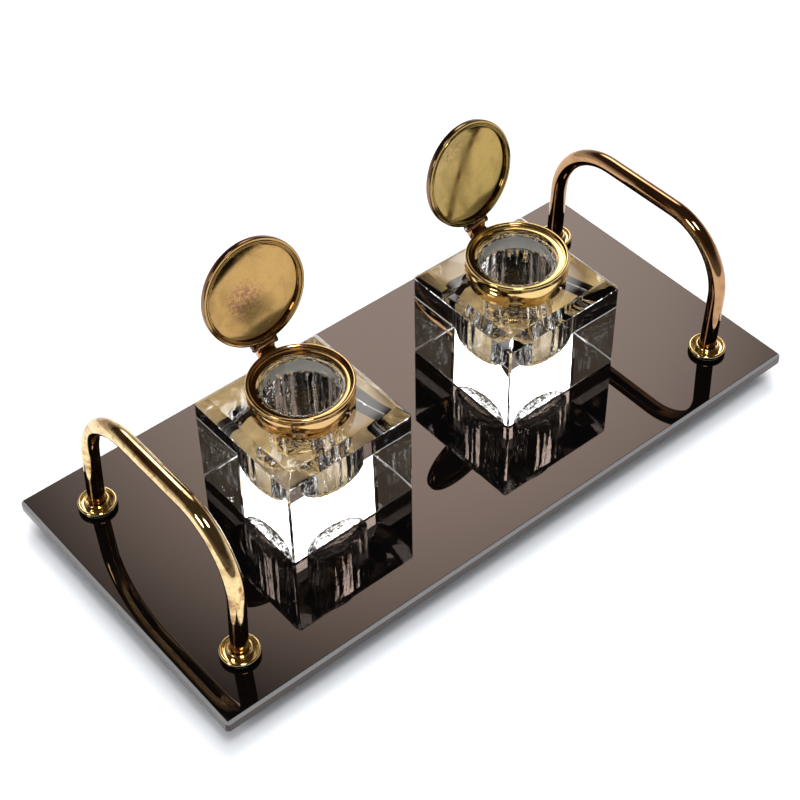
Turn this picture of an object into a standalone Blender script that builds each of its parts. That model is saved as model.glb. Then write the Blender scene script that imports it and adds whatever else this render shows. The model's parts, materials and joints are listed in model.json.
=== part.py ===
"""Desk inkstand: a glass plate on four feet, two rod handles, two lidded glass inkwells.

Metres, +Z up. The origin is on the desk, under the middle of the plate. X runs along
the plate and Y across it, with the lids' hinges at the back (+Y). The lids stand open.
"""

from math import cos, pi, radians, sin

import bmesh
import bpy
from mathutils import Matrix, Vector

MM = 0.001

# Gaps. Pieces that rest on each other, or fit round each other, keep this much air.
GAP = 0.3 * MM

# Facets round each turned piece.
ROUND = 32
SMALL_ROUND = 20
ROD_BEVEL_RESOLUTION = 4
BEND_STEPS = 9
DOME_STEPS = 4

# Plate: quarter-inch polished plate glass.
PLATE_LENGTH = 304.8 * MM
PLATE_WIDTH = 146.05 * MM
PLATE_THICK = 6.35 * MM
PLATE_ARRIS = 1.2 * MM

# Feet, stacked up from the desk: felt pad, round nut, leather washer, plate.
PAD_RADIUS = 6.6 * MM
PAD_THICK = 2.0 * MM
NUT_RADIUS = 7.2 * MM
NUT_HEIGHT = 4.7 * MM
NUT_CHAMFER = 0.5 * MM
STUD_ENGAGE = 3.2 * MM
STUD_TIP_ROOM = 0.5 * MM
PLATE_WASHER_RADIUS = 7.2 * MM
PLATE_WASHER_THICK = 0.6 * MM

# Handles: a rod bent into an arch, with its ends turned down to studs.
HANDLE_INSET = 23.5 * MM
HANDLE_HEIGHT = 61.0 * MM
HANDLE_BEND = 30.0 * MM
HANDLE_LEAN = 2.6 * MM
ROD_RADIUS = 3.75 * MM
STUD_RADIUS = 2.0 * MM
STUD_HOLE_ROOM = 0.4 * MM
SHOULDER_RAMP = 0.05 * MM

# Rosettes: a dished disc round each handle foot, with a soft washer under it.
ROSETTE_FLOOR = 1.1 * MM
ROSETTE_DISH_FLOOR = 0.8 * MM
ROSETTE_BEAD_TOP = 1.8 * MM
ROSETTE_BOSS_TOP = 3.0 * MM
ROSETTE_BOSS_WALL = 1.15 * MM
ROSETTE_DISH = 1.6 * MM
ROSETTE_BEAD = 1.5 * MM
SOFT_WASHER_INSET = 0.7 * MM
SOFT_WASHER_THICK = 0.6 * MM

# Glass inkwells: where each stands on the plate, and how far its collar is turned.
WELLS = {
    "left": {"x": -55.5 * MM, "y": 2.9 * MM, "collar_turn": radians(-2.3)},
    "right": {"x": 60.3 * MM, "y": 3.4 * MM, "collar_turn": radians(2.9)},
}
BLOCK_SIZE = 62.5 * MM
BLOCK_HEIGHT = 47.7 * MM
BLOCK_CHAMFER = 4.1 * MM
BLOCK_ARRIS = 0.8 * MM
BLOCK_FOOT_ARRIS = 0.5 * MM
MOUTH_RADIUS = 15.4 * MM
CAVITY_WIDER = 0.6 * MM
CAVITY_FLOOR = 15.5 * MM
CAVITY_FILLET = 5.0 * MM
NECK_WALL = 3.1 * MM
NECK_RISE = 9.0 * MM
MOUTH_DEPTH = 7.0 * MM

# Brass collar, cemented round the neck.
CEMENT = 0.7 * MM
COLLAR_WALL = 2.2 * MM
COLLAR_FOOT_WALL = 1.1 * MM
COLLAR_FOOT_RISE = 1.6 * MM
COLLAR_RISE = 12.0 * MM
COLLAR_LIP_OVERLAP = 0.85 * MM
COLLAR_LIP_THICK = 0.9 * MM
COLLAR_RIM_LAND = 1.3 * MM
COLLAR_STEP = 0.9 * MM

# Lid: a shallow dome with a ring (bezel) inside its edge.
LID_OVERHANG = 1.4 * MM
LID_EDGE = 2.6 * MM
LID_DOME = 3.4 * MM
LID_THICK = 1.1 * MM
LID_ROUNDING = 0.5 * MM
BEZEL_WIDTH = 1.4 * MM
BEZEL_THICK = 1.5 * MM
BEZEL_CHAMFER = 0.3 * MM

# Hinge: one broad tongue on the collar, two ears on the lid, one pin through all three.
OPEN_ANGLE = radians(101.6)
HINGE_BEHIND_LID = 1.4 * MM
HINGE_ABOVE_RIM = 1.9 * MM
KNUCKLE_RADIUS = 1.6 * MM
PIN_RADIUS = 0.8 * MM
PIN_END = 0.4 * MM
TONGUE_WIDTH = 8.0 * MM
EAR_WIDTH = 1.6 * MM
LUG_FOOT_DROP = 0.6 * MM
LUG_DEPTH = 4.8 * MM
LEAF_REACH = 4.6 * MM
LEAF_THICK = 1.0 * MM
LEAF_LIFT = 0.5 * MM

# Heights above the desk, and the radii that the sizes above lead to.
NUT_BOTTOM = PAD_THICK + GAP
NUT_TOP = NUT_BOTTOM + NUT_HEIGHT
PLATE_BOTTOM = NUT_TOP + GAP + PLATE_WASHER_THICK + GAP
PLATE_TOP = PLATE_BOTTOM + PLATE_THICK
ROSETTE_BOTTOM = PLATE_TOP + GAP + SOFT_WASHER_THICK + GAP
SHOULDER = ROSETTE_BOTTOM + ROSETTE_FLOOR + GAP
WELL_BOTTOM = PLATE_TOP + GAP
FOOT_X = PLATE_LENGTH / 2 - HANDLE_INSET
FOOT_Y = PLATE_WIDTH / 2 - HANDLE_INSET
SEAT_RADIUS = ROD_RADIUS + GAP
BOSS_RADIUS = SEAT_RADIUS + ROSETTE_BOSS_WALL
ROSETTE_RADIUS = BOSS_RADIUS + ROSETTE_DISH + ROSETTE_BEAD
HOLE_RADIUS = STUD_RADIUS + STUD_HOLE_ROOM
NECK_RADIUS = MOUTH_RADIUS + NECK_WALL
CAVITY_RADIUS = MOUTH_RADIUS + CAVITY_WIDER
NECK_TOP = BLOCK_HEIGHT + NECK_RISE
COLLAR_BORE = NECK_RADIUS + GAP + CEMENT + GAP
COLLAR_RADIUS = COLLAR_BORE + COLLAR_WALL
COLLAR_TOP = BLOCK_HEIGHT + COLLAR_RISE
LID_RADIUS = COLLAR_RADIUS + LID_OVERHANG
HINGE_OUT = LID_RADIUS + HINGE_BEHIND_LID
RIM_PLANE = GAP - HINGE_ABOVE_RIM
HINGE_HALF_WIDTH = TONGUE_WIDTH / 2 + GAP + EAR_WIDTH

PLAIN_COLOURS = {
    "black_glass": ((0.015, 0.014, 0.013), 0.03, 0.0),
    "brass": ((0.78, 0.57, 0.26), 0.18, 1.0),
    "crystal": ((0.93, 0.95, 0.96), 0.02, 0.0),
    "cement": ((0.75, 0.73, 0.68), 0.9, 0.0),
    "felt": ((0.06, 0.07, 0.06), 0.95, 0.0),
    "leather": ((0.30, 0.12, 0.07), 0.8, 0.0),
    "steel": ((0.55, 0.55, 0.56), 0.3, 1.0),
}


def clear_scene():
    for item in list(bpy.data.objects):
        bpy.data.objects.remove(item, do_unlink=True)


def plain_material(name):
    colour, roughness, metallic = PLAIN_COLOURS[name]
    material = bpy.data.materials.get(name)
    if material is None:
        material = bpy.data.materials.new(name)
        material.use_nodes = True
        shader = material.node_tree.nodes["Principled BSDF"]
        shader.inputs["Base Color"].default_value = (*colour, 1.0)
        shader.inputs["Roughness"].default_value = roughness
        shader.inputs["Metallic"].default_value = metallic
    return material


def add_object(name, data, material=None, parent=None, at=(0, 0, 0)):
    """Put a mesh or curve in the scene at a place under its parent."""
    item = bpy.data.objects.new(name, data)
    bpy.context.scene.collection.objects.link(item)
    item.location = at
    item.parent = parent
    if material:
        data.materials.append(plain_material(material))
    return item


def add_empty(name, at, parent=None, turn=(0, 0, 0)):
    item = add_object(name, None, parent=parent, at=at)
    item.rotation_euler = turn
    return item


def mesh_from(bm, name, smooth_angle=radians(30)):
    """Turn a finished bmesh into a closed, outward-facing mesh."""
    bmesh.ops.remove_doubles(bm, verts=bm.verts, dist=0.001 * MM)
    bmesh.ops.recalc_face_normals(bm, faces=bm.faces)
    mesh = bpy.data.meshes.new(name)
    bm.to_mesh(mesh)
    bm.free()
    mesh.shade_smooth()
    mesh.set_sharp_from_angle(angle=smooth_angle)
    return mesh


def turned_mesh(name, outline, steps, closed=True):
    """Spin an outline of (radius, height) points about Z.

    A closed outline makes a ring. An open one starts and ends on the axis.
    """
    bm = bmesh.new()
    verts = [bm.verts.new((radius, 0, height)) for radius, height in outline]
    edges = [bm.edges.new(pair) for pair in zip(verts, verts[1:])]
    if closed:
        edges.append(bm.edges.new((verts[-1], verts[0])))
    bmesh.ops.spin(
        bm,
        geom=verts + edges,
        cent=(0, 0, 0),
        axis=(0, 0, 1),
        angle=2 * pi,
        steps=steps,
        use_merge=True,
    )
    return mesh_from(bm, name)


def prism_mesh(name, outline, width):
    """Extrude a (y, z) outline along X, centred on X = 0."""
    bm = bmesh.new()
    face = bm.faces.new([bm.verts.new((-width / 2, y, z)) for y, z in outline])
    pulled = bmesh.ops.extrude_face_region(bm, geom=[face])
    moved = [item for item in pulled["geom"] if isinstance(item, bmesh.types.BMVert)]
    bmesh.ops.translate(bm, verts=moved, vec=(width, 0, 0))
    return mesh_from(bm, name)


def cylinder_mesh(name, radius, bottom, top, steps):
    return turned_mesh(name, [(0, bottom), (radius, bottom), (radius, top), (0, top)], steps, False)


def ring_mesh(name, inner, outer, thick, steps):
    outline = [(inner, 0), (outer, 0), (outer, thick), (inner, thick)]
    return turned_mesh(name, outline, steps)


def box_mesh(name, low, high):
    bm = bmesh.new()
    size = Vector(high) - Vector(low)
    middle = (Vector(high) + Vector(low)) / 2
    bmesh.ops.create_cube(bm, size=1, matrix=Matrix.Translation(middle) @ Matrix.Diagonal((*size, 1)))
    return mesh_from(bm, name)


def combine(item, tool, operation):
    """Add a Boolean with a helper object that isn't a piece of the stand itself."""
    tool.hide_render = True
    tool.display_type = "WIRE"
    modifier = item.modifiers.new(tool.name, "BOOLEAN")
    modifier.operation = operation
    modifier.solver = "EXACT"
    modifier.object = tool


def arc(centre, radius, start, stop, steps):
    """Points on an arc, as pairs, from one angle to the other."""
    turns = [start + (stop - start) * step / steps for step in range(steps + 1)]
    return [(centre[0] + radius * cos(turn), centre[1] + radius * sin(turn)) for turn in turns]


def make_plate(feet):
    bm = bmesh.new()
    size = (PLATE_LENGTH, PLATE_WIDTH, PLATE_THICK)
    middle = Matrix.Translation((0, 0, PLATE_BOTTOM + PLATE_THICK / 2))
    bmesh.ops.create_cube(bm, size=1, matrix=middle @ Matrix.Diagonal((*size, 1)))
    bmesh.ops.bevel(bm, geom=bm.edges[:], offset=PLATE_ARRIS, segments=1, affect="EDGES")
    plate = add_object("base_plate", mesh_from(bm, "base_plate"), "black_glass")
    low = PLATE_BOTTOM - GAP
    high = PLATE_TOP + GAP
    for place, (x, y) in feet.items():
        mesh = cylinder_mesh("stud_hole", HOLE_RADIUS, low, high, SMALL_ROUND)
        combine(plate, add_object(f"stud_hole_{place}", mesh, at=(x, y, 0)), "DIFFERENCE")


def rod_lean(height):
    """How far the rod's centre has leaned over at a height above the desk."""
    straight = ROSETTE_BOTTOM + ROSETTE_BOSS_TOP
    top = PLATE_TOP + HANDLE_HEIGHT
    return HANDLE_LEAN * max(0.0, (height - straight) / (top - straight))


def handle_path():
    """The arch as (y, z, radius) from the front stud's tip to the back stud's tip."""
    stud_tip = NUT_TOP - STUD_ENGAGE
    leg_top = PLATE_TOP + HANDLE_HEIGHT - HANDLE_BEND
    bend_y = FOOT_Y - HANDLE_BEND
    half = [
        (FOOT_Y, stud_tip, STUD_RADIUS),
        (FOOT_Y, SHOULDER - SHOULDER_RAMP, STUD_RADIUS),
        (FOOT_Y, SHOULDER, ROD_RADIUS),
        (FOOT_Y, ROSETTE_BOTTOM + ROSETTE_BOSS_TOP, ROD_RADIUS),
    ]
    bend = arc((bend_y, leg_top), HANDLE_BEND, 0, pi / 2, BEND_STEPS)
    half += [(y, z, ROD_RADIUS) for y, z in bend]
    return [(-y, z, radius) for y, z, radius in half] + list(reversed(half))


def make_handle(side, x):
    path = handle_path()
    curve = bpy.data.curves.new(f"handle_{side}", "CURVE")
    curve.dimensions = "3D"
    curve.bevel_depth = ROD_RADIUS
    curve.bevel_resolution = ROD_BEVEL_RESOLUTION
    curve.use_fill_caps = True
    spline = curve.splines.new("POLY")
    spline.points.add(len(path) - 1)
    spline.use_smooth = True
    for point, (y, z, radius) in zip(spline.points, path):
        point.co = (rod_lean(z), y, z, 1)
        point.radius = radius / ROD_RADIUS
    add_object(f"handle_{side}", curve, "brass", at=(x, 0, 0))


def rosette_outline():
    """Half section of a rosette: bead, dish, and the boss that the rod stands in."""
    bead_inner = BOSS_RADIUS + ROSETTE_DISH
    bead_middle = bead_inner + ROSETTE_BEAD / 2
    bead_low = ROSETTE_BEAD_TOP - ROSETTE_BEAD / 2
    bead = arc((bead_middle, bead_low), ROSETTE_BEAD / 2, 0, pi, 5)
    return [
        (STUD_RADIUS + GAP, 0),
        (ROSETTE_RADIUS, 0),
        *bead,
        (BOSS_RADIUS, ROSETTE_DISH_FLOOR),
        (BOSS_RADIUS, ROSETTE_BOSS_TOP - GAP),
        (BOSS_RADIUS - GAP, ROSETTE_BOSS_TOP),
        (SEAT_RADIUS, ROSETTE_BOSS_TOP),
        (SEAT_RADIUS, ROSETTE_FLOOR),
        (STUD_RADIUS + GAP, ROSETTE_FLOOR),
    ]


def make_foot_stack(place, x, y):
    """Everything threaded on one stud, from the rosette down to the pad."""
    rosette = turned_mesh("rosette", rosette_outline(), SMALL_ROUND)
    add_object(f"rosette_{place}", rosette, "brass", at=(x, y, ROSETTE_BOTTOM))

    soft_radius = ROSETTE_RADIUS - SOFT_WASHER_INSET
    soft = ring_mesh("soft_washer", HOLE_RADIUS, soft_radius, SOFT_WASHER_THICK, SMALL_ROUND)
    add_object(f"soft_washer_{place}", soft, "felt", at=(x, y, PLATE_TOP + GAP))

    bore = STUD_RADIUS + GAP
    leather = ring_mesh("plate_washer", bore, PLATE_WASHER_RADIUS, PLATE_WASHER_THICK, SMALL_ROUND)
    add_object(f"plate_washer_{place}", leather, "leather", at=(x, y, NUT_TOP + GAP))

    blind = NUT_HEIGHT - STUD_ENGAGE - STUD_TIP_ROOM
    nut = [
        (0, 0),
        (NUT_RADIUS - NUT_CHAMFER, 0),
        (NUT_RADIUS, NUT_CHAMFER),
        (NUT_RADIUS, NUT_HEIGHT - NUT_CHAMFER),
        (NUT_RADIUS - NUT_CHAMFER, NUT_HEIGHT),
        (bore, NUT_HEIGHT),
        (bore, blind),
        (0, blind),
    ]
    nut_mesh = turned_mesh("foot_nut", nut, SMALL_ROUND, False)
    add_object(f"foot_nut_{place}", nut_mesh, "brass", at=(x, y, NUT_BOTTOM))

    pad = cylinder_mesh("foot_pad", PAD_RADIUS, 0, PAD_THICK, SMALL_ROUND)
    add_object(f"foot_pad_{place}", pad, "felt", at=(x, y, 0))


def cavity_outline():
    """Half section of the ink space: rounded floor, straight wall, narrower mouth."""
    corner = (CAVITY_RADIUS - CAVITY_FILLET, CAVITY_FLOOR + CAVITY_FILLET)
    shoulder = NECK_TOP - MOUTH_DEPTH
    above = NECK_TOP + GAP
    return [
        (0, CAVITY_FLOOR),
        *arc(corner, CAVITY_FILLET, -pi / 2, 0, 4),
        (CAVITY_RADIUS, shoulder - CAVITY_WIDER),
        (MOUTH_RADIUS, shoulder),
        (MOUTH_RADIUS, above),
        (0, above),
    ]


def block_mesh():
    """A glass cube with worn upright edges and a wide polished chamfer round its top."""
    bm = bmesh.new()
    low = BLOCK_FOOT_ARRIS
    high = BLOCK_HEIGHT - BLOCK_CHAMFER
    size = (BLOCK_SIZE, BLOCK_SIZE, high - low)
    middle = Matrix.Translation((0, 0, (low + high) / 2))
    bmesh.ops.create_cube(bm, size=1, matrix=middle @ Matrix.Diagonal((*size, 1)))
    upright = [edge for edge in bm.edges if abs(edge.verts[0].co.z - edge.verts[1].co.z) > GAP]
    bmesh.ops.bevel(bm, geom=upright, offset=BLOCK_ARRIS, segments=1, affect="EDGES")
    for direction, depth in ((1, BLOCK_CHAMFER), (-1, BLOCK_FOOT_ARRIS)):
        bm.normal_update()
        face = max(bm.faces, key=lambda item: direction * item.calc_center_median().z)
        pulled = bmesh.ops.extrude_face_region(bm, geom=[face])
        bmesh.ops.delete(bm, geom=[face], context="FACES_ONLY")
        moved = [item for item in pulled["geom"] if isinstance(item, bmesh.types.BMVert)]
        bmesh.ops.translate(bm, verts=moved, vec=(0, 0, direction * depth))
        shrink = 1 - 2 * depth / BLOCK_SIZE
        bmesh.ops.scale(bm, verts=moved, vec=(shrink, shrink, 1))
    return mesh_from(bm, "glass_block")


def make_block(side, well):
    block = add_object(f"glass_block_{side}", block_mesh(), "crystal", parent=well)
    neck = cylinder_mesh("neck", NECK_RADIUS, BLOCK_HEIGHT / 2, NECK_TOP, ROUND)
    combine(block, add_object(f"neck_{side}", neck, parent=well), "UNION")
    cavity = turned_mesh("cavity", cavity_outline(), ROUND, False)
    combine(block, add_object(f"cavity_{side}", cavity, parent=well), "DIFFERENCE")


def collar_outline():
    """Half section of the collar: foot, flared band, rim, two steps, inward lip."""
    foot = BLOCK_HEIGHT + GAP
    waist = foot + COLLAR_FOOT_RISE
    foot_radius = COLLAR_BORE + COLLAR_FOOT_WALL
    lip_radius = NECK_RADIUS - COLLAR_LIP_OVERLAP
    lip_bottom = NECK_TOP + GAP
    lip_top = lip_bottom + COLLAR_LIP_THICK
    land = COLLAR_RADIUS - COLLAR_RIM_LAND
    return [
        (COLLAR_BORE, foot),
        (foot_radius, foot),
        (foot_radius, waist),
        (COLLAR_RADIUS - GAP, waist + GAP),
        (COLLAR_RADIUS, COLLAR_TOP - 2 * GAP),
        (COLLAR_RADIUS - GAP, COLLAR_TOP),
        (land, COLLAR_TOP),
        (land - GAP, COLLAR_TOP - COLLAR_STEP),
        (land - COLLAR_STEP, COLLAR_TOP - COLLAR_STEP),
        (land - COLLAR_STEP - GAP, lip_top),
        (lip_radius, lip_top),
        (lip_radius, lip_bottom),
        (COLLAR_BORE, lip_bottom),
    ]


def make_collar(side, mount):
    collar = turned_mesh("collar", collar_outline(), ROUND)
    add_object(f"collar_{side}", collar, "brass", parent=mount)
    inner = NECK_RADIUS + GAP
    cement = ring_mesh("cement", inner, inner + CEMENT, NECK_TOP - BLOCK_HEIGHT - GAP, ROUND)
    at = (0, 0, BLOCK_HEIGHT + GAP)
    add_object(f"collar_cement_{side}", cement, "cement", parent=mount, at=at)


def pin_bore(name, parent, at):
    """A helper rod across the hinge, wide enough for the pin to turn in its hole."""
    reach = 2 * HINGE_HALF_WIDTH
    mesh = cylinder_mesh("pin_bore", PIN_RADIUS + GAP, -reach, reach, SMALL_ROUND)
    bore = add_object(name, mesh, parent=parent, at=at)
    bore.rotation_euler = (0, pi / 2, 0)
    return bore


def make_lug(side, mount, axis_at):
    """The collar's half of the hinge: a tongue with a knuckle, fitted to the round collar."""
    rim = -HINGE_ABOVE_RIM
    foot_top = rim - LUG_FOOT_DROP
    foot_bottom = foot_top - LUG_DEPTH
    behind = KNUCKLE_RADIUS * cos(pi / 6)
    inward = -HINGE_BEHIND_LID - LID_OVERHANG - GAP
    outline = [
        *arc((0, 0), KNUCKLE_RADIUS, -pi / 6, pi, 9),
        (-KNUCKLE_RADIUS, foot_top),
        (inward, foot_top),
        (inward, foot_bottom),
        (behind, foot_top - KNUCKLE_RADIUS),
    ]
    mesh = prism_mesh("hinge_lug", outline, TONGUE_WIDTH)
    lug = add_object(f"hinge_lug_{side}", mesh, "brass", parent=mount, at=axis_at)
    room = cylinder_mesh("room", COLLAR_RADIUS + GAP, BLOCK_HEIGHT, COLLAR_TOP + GAP, ROUND * 2)
    combine(lug, add_object(f"lug_room_{side}", room, parent=mount), "DIFFERENCE")
    combine(lug, pin_bore(f"lug_bore_{side}", mount, axis_at), "DIFFERENCE")

    half = HINGE_HALF_WIDTH + PIN_END
    pin_mesh = cylinder_mesh("hinge_pin", PIN_RADIUS, -half, half, SMALL_ROUND)
    pin = add_object(f"hinge_pin_{side}", pin_mesh, "steel", parent=mount, at=axis_at)
    pin.rotation_euler = (0, pi / 2, 0)


def dome_height(radius):
    """Height of the lid's outer face above its rim plane."""
    return LID_EDGE + LID_DOME * (1 - (radius / LID_RADIUS) ** 2)


def lid_outline():
    """Half section of the lid, from the middle of its top round to the middle below."""
    shoulder = LID_RADIUS - 2 * LID_ROUNDING
    inner = LID_RADIUS - LID_THICK
    outer_radii = [shoulder * step / DOME_STEPS for step in range(DOME_STEPS + 1)]
    inner_radii = [inner * step / DOME_STEPS for step in range(DOME_STEPS, -1, -1)]
    return [
        *[(radius, dome_height(radius)) for radius in outer_radii],
        (LID_RADIUS, LID_EDGE - LID_ROUNDING),
        (LID_RADIUS, GAP),
        (LID_RADIUS - GAP, 0),
        (inner, 0),
        *[(radius, dome_height(radius) - LID_THICK) for radius in inner_radii],
    ]


def make_lid(side, hinge):
    """The lid, its bezel and its hinge leaf, all placed from the hinge's axis."""
    centre = (0, -HINGE_OUT, RIM_PLANE)
    lid = add_object(
        f"lid_{side}",
        turned_mesh("lid", lid_outline(), ROUND, False),
        "brass",
        parent=hinge,
        at=centre,
    )
    flat = -KNUCKLE_RADIUS - GAP
    room = box_mesh("flat", (-HINGE_OUT, flat, -HINGE_OUT), (HINGE_OUT, HINGE_OUT, HINGE_OUT))
    combine(lid, add_object(f"lid_flat_{side}", room, parent=hinge), "DIFFERENCE")

    outer = LID_RADIUS - LID_THICK - GAP
    inner = outer - BEZEL_WIDTH
    section = [
        (inner + BEZEL_CHAMFER, 0),
        (outer, 0),
        (outer, BEZEL_THICK),
        (inner, BEZEL_THICK),
        (inner, BEZEL_CHAMFER),
    ]
    bezel = turned_mesh("lid_bezel", section, ROUND)
    add_object(f"lid_bezel_{side}", bezel, "brass", parent=hinge, at=centre)
    make_leaf(side, hinge)


def make_leaf(side, hinge):
    """The lid's half of the hinge: a leaf along the dome with an ear at each end."""
    root = HINGE_BEHIND_LID + 2 * LID_ROUNDING
    tip = root + LEAF_REACH
    under = [(-y, RIM_PLANE + dome_height(HINGE_OUT - y) + LEAF_LIFT) for y in (tip, root)]
    over = [(y, z + LEAF_THICK) for y, z in reversed(under)]
    outline = [*arc((0, 0), KNUCKLE_RADIUS, radians(140), radians(460), 14), *over, *under]
    mesh = prism_mesh("lid_leaf", outline, 2 * HINGE_HALF_WIDTH)
    leaf = add_object(f"lid_leaf_{side}", mesh, "brass", parent=hinge)
    slot = TONGUE_WIDTH / 2 + GAP
    front = -KNUCKLE_RADIUS - 2 * GAP
    box = box_mesh("slot", (-slot, front, -HINGE_OUT), (slot, HINGE_OUT, HINGE_OUT))
    combine(leaf, add_object(f"leaf_slot_{side}", box, parent=hinge), "DIFFERENCE")
    combine(leaf, pin_bore(f"leaf_bore_{side}", hinge, (0, 0, 0)), "DIFFERENCE")


def make_inkwell(side, place):
    well = add_empty(f"well_{side}", (place["x"], place["y"], WELL_BOTTOM))
    mount = add_empty(f"mount_{side}", (0, 0, 0), well, (0, 0, place["collar_turn"]))
    axis_at = (0, HINGE_OUT, COLLAR_TOP + HINGE_ABOVE_RIM)
    hinge = add_empty(f"hinge_{side}", axis_at, mount, (-OPEN_ANGLE, 0, 0))
    make_block(side, well)
    make_collar(side, mount)
    make_lug(side, mount, axis_at)
    make_lid(side, hinge)


def main():
    clear_scene()
    feet = {
        "left_front": (-FOOT_X, -FOOT_Y),
        "left_back": (-FOOT_X, FOOT_Y),
        "right_front": (FOOT_X, -FOOT_Y),
        "right_back": (FOOT_X, FOOT_Y),
    }
    make_plate(feet)
    make_handle("left", -FOOT_X)
    make_handle("right", FOOT_X)
    for place, (x, y) in feet.items():
        make_foot_stack(place, x, y)
    for side, place in WELLS.items():
        make_inkwell(side, place)


main()
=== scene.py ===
# %% [markdown]
# # A desk inkstand with two lidded inkwells
#
# The stand is a black glass plate on four small feet, with a bent brass rod at each end to lift it by.
# Two cut-glass inkwells stand on it, each with a brass collar and a brass lid on a hinge, both open.
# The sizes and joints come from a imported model, the frame. This lesson builds the good-looking pieces
# round it one at a time, each in the place its plain part has in the frame.

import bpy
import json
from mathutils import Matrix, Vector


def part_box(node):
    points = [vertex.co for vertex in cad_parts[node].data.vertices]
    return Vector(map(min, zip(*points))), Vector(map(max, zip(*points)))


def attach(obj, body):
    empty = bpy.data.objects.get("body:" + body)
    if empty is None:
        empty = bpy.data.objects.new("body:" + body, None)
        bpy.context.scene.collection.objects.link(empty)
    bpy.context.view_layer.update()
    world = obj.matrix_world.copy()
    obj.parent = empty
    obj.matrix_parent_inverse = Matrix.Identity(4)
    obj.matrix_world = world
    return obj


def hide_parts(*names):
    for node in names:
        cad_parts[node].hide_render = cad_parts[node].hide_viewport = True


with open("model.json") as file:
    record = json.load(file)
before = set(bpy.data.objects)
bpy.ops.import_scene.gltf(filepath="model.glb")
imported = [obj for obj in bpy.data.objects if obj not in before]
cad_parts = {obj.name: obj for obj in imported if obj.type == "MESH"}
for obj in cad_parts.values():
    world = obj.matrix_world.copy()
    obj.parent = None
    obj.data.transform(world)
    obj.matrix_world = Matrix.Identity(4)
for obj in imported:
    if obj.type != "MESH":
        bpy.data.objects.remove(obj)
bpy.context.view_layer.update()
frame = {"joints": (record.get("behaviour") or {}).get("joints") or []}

# %% [markdown]
# ## Helpers for modelling by hand
#
# A modelling operator works on whatever is selected, so each step first clears the selection and then
# picks vertices, edges or faces by where they are. These few helpers do what a hand does with the mouse:
# add a primitive, go into edit mode, pick, leave, and put the finished piece in its place.

# %% Pick and place
import json
from math import atan2, cos, degrees, pi, radians, sin

import bmesh
import bpy
from mathutils import Matrix, Vector

MM = 0.001
SEAM = 0.002 * MM


def clear_selection():
    if bpy.context.mode != "OBJECT":
        bpy.ops.object.mode_set(mode="OBJECT")
    bpy.ops.object.select_all(action="DESELECT")


def take(piece):
    """Make one piece the selected and active one."""
    clear_selection()
    piece.select_set(True)
    bpy.context.view_layer.objects.active = piece
    return piece


def edit(piece):
    take(piece)
    bpy.ops.object.mode_set(mode="EDIT")
    bpy.ops.mesh.select_all(action="DESELECT")


def pick(kind, test):
    """In edit mode, select the vertices, edges or faces that pass a test, and nothing else."""
    bpy.ops.mesh.select_mode(type=kind)
    bpy.ops.mesh.select_all(action="DESELECT")
    shape = bmesh.from_edit_mesh(bpy.context.edit_object.data)
    shape.normal_update()
    group = {"VERT": shape.verts, "EDGE": shape.edges, "FACE": shape.faces}[kind]
    for item in group:
        if test(item):
            item.select_set(True)
    shape.select_flush_mode()
    bmesh.update_edit_mesh(bpy.context.edit_object.data)


def pick_all():
    bpy.ops.mesh.select_all(action="SELECT")


def middle(item):
    """The middle of an edge or a face."""
    return sum((v.co for v in item.verts), Vector()) / len(item.verts)


def close_seams():
    """Merge doubled vertices and turn every face outwards."""
    pick_all()
    bpy.ops.mesh.remove_doubles(threshold=SEAM)
    bpy.ops.mesh.normals_make_consistent(inside=False)


def fix_shape():
    """Write the active piece's place and scale into its mesh."""
    bpy.ops.object.transform_apply(location=True, rotation=True, scale=True)


def cube(size, at):
    """A cube stretched to a size."""
    clear_selection()
    bpy.ops.mesh.primitive_cube_add(size=1, location=at)
    bpy.context.active_object.scale = size
    fix_shape()
    return bpy.context.active_object


def bevel(width, segments=1):
    """Cut back the picked edges."""
    bpy.ops.mesh.bevel(offset=width, segments=segments, affect="EDGES")


def leave(piece, name=None):
    bpy.ops.object.mode_set(mode="OBJECT")
    if name:
        piece.name = name
        piece.data.name = name
    clear_selection()
    return piece


def settle(piece, place=None):
    """Move a piece to its place and write the place into its mesh, so that its object sits at the origin."""
    take(piece)
    if place is not None:
        piece.matrix_world = place @ piece.matrix_world
    fix_shape()
    clear_selection()
    return piece


def twin(piece, name, place=None):
    """A copy with a mesh of its own."""
    take(piece)
    bpy.ops.object.duplicate(linked=False)
    copy = bpy.context.active_object
    copy.name = name
    copy.data.name = name
    return settle(copy, place)


def smooth(piece, angle=30):
    take(piece)
    bpy.ops.object.shade_smooth_by_angle(angle=radians(angle))
    clear_selection()
    return piece


def apply_all(piece):
    take(piece)
    for modifier in list(piece.modifiers):
        bpy.ops.object.modifier_apply(modifier=modifier.name)
    clear_selection()
    return piece


def discard(*pieces):
    for piece in pieces:
        bpy.data.objects.remove(piece, do_unlink=True)


def cut(piece, tool, operation="DIFFERENCE"):
    """Join or cut with a helper piece, which is thrown away afterwards."""
    modifier = piece.modifiers.new("cut", "BOOLEAN")
    modifier.operation = operation
    modifier.solver = "EXACT"
    modifier.object = tool
    apply_all(piece)
    discard(tool)
    return piece


def drill(piece, radius, depth, at, steps=32, turn=0.0):
    """Cut a round hole, upright or turned about Y."""
    clear_selection()
    turns = (0, turn, 0)
    bpy.ops.mesh.primitive_cylinder_add(vertices=steps, radius=radius, depth=depth, location=at, rotation=turns)
    return cut(piece, bpy.context.active_object)


def round_edges(piece, width, segments=2, angle=35):
    """Break the sharp edges with a small bevel, as a polisher does."""
    modifier = piece.modifiers.new("broken edges", "BEVEL")
    modifier.width = width
    modifier.segments = segments
    modifier.limit_method = "ANGLE"
    modifier.angle_limit = radians(angle)
    modifier.use_clamp_overlap = True
    return apply_all(piece)


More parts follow.
